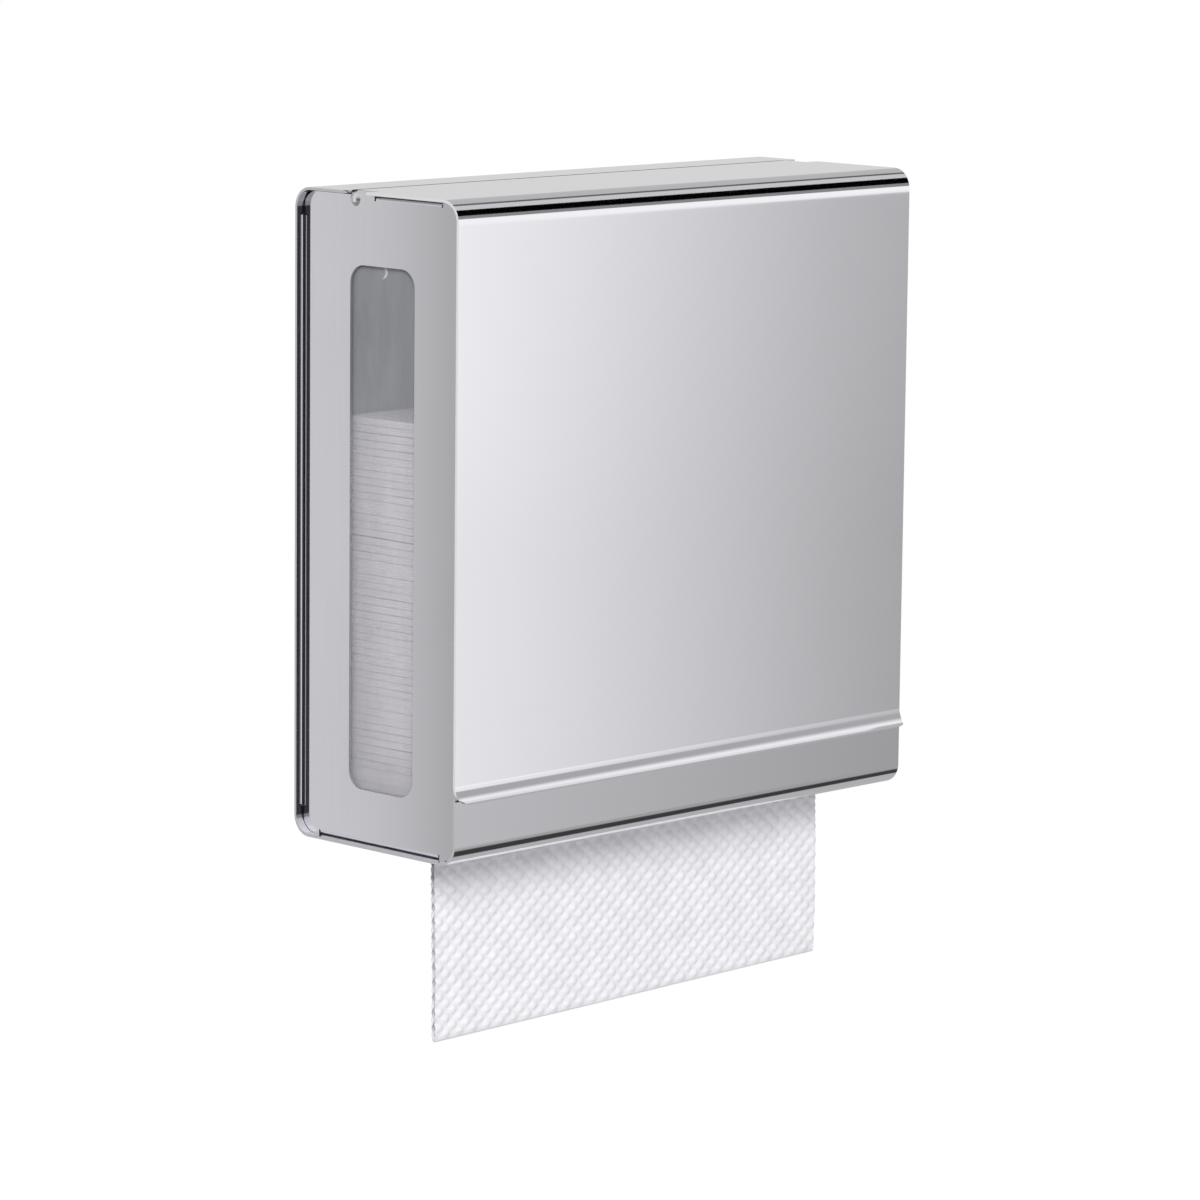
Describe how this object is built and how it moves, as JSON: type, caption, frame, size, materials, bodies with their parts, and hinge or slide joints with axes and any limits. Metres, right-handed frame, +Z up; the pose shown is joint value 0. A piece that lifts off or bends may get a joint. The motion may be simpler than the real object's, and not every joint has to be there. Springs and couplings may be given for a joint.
{
  "type": "c-fold towel dispenser",
  "caption": "Wall-mounted steel cabinet for folded paper towels, with a lift-up front, a clear window in each side and a towel slot underneath.",
  "frame": {"origin": "centre of the screw pattern, on the back face that lies on the wall", "axes": "+X to the right seen from the front, +Y into the wall, +Z up"},
  "size_m": [0.28, 0.1043, 0.364],
  "materials": {
    "steel": "bright polished stainless sheet, very slightly satin",
    "pin_steel": "turned and polished stainless",
    "clip_steel": "spring steel with a dull sheen",
    "clear_acrylic": "clear acrylic with a faint haze",
    "foam_tape": "matt black closed-cell foam tape",
    "nylon": "natural nylon, matt",
    "bumper_rubber": "matt black rubber",
    "towel_paper": "white embossed paper, matt"
  },
  "bodies": {
    "cabinet": {"wall_shell": "steel", "side_panel_left": "steel", "side_panel_right": "steel", "pane_tape_left": "foam_tape", "pane_tape_right": "foam_tape", "window_pane_left": "clear_acrylic", "window_pane_right": "clear_acrylic", "hinge_pin_left": "pin_steel", "hinge_pin_right": "pin_steel", "hinge_washer_left": "nylon", "hinge_washer_right": "nylon", "pin_clip_left": "clip_steel", "pin_clip_right": "clip_steel", "door_bumper_lower_left": "bumper_rubber", "door_bumper_lower_right": "bumper_rubber", "door_bumper_upper_left": "bumper_rubber", "door_bumper_upper_right": "bumper_rubber", "towel_stack": "towel_paper"},
    "door": {"door": "steel"},
    "leading_towel": {"leading_towel": "towel_paper"}
  },
  "joints": [
    {"name": "door_hinge", "type": "hinge", "parent": "cabinet", "child": "door", "pos_m": [0, -0.0335, 0.1364], "axis": [-1, 0, 0], "range_deg": [0, 80]},
    {"name": "towel_pull", "type": "slide", "parent": "cabinet", "child": "leading_towel", "axis": [0, 0, -1], "range_m": [0, 0.095]}
  ]
}
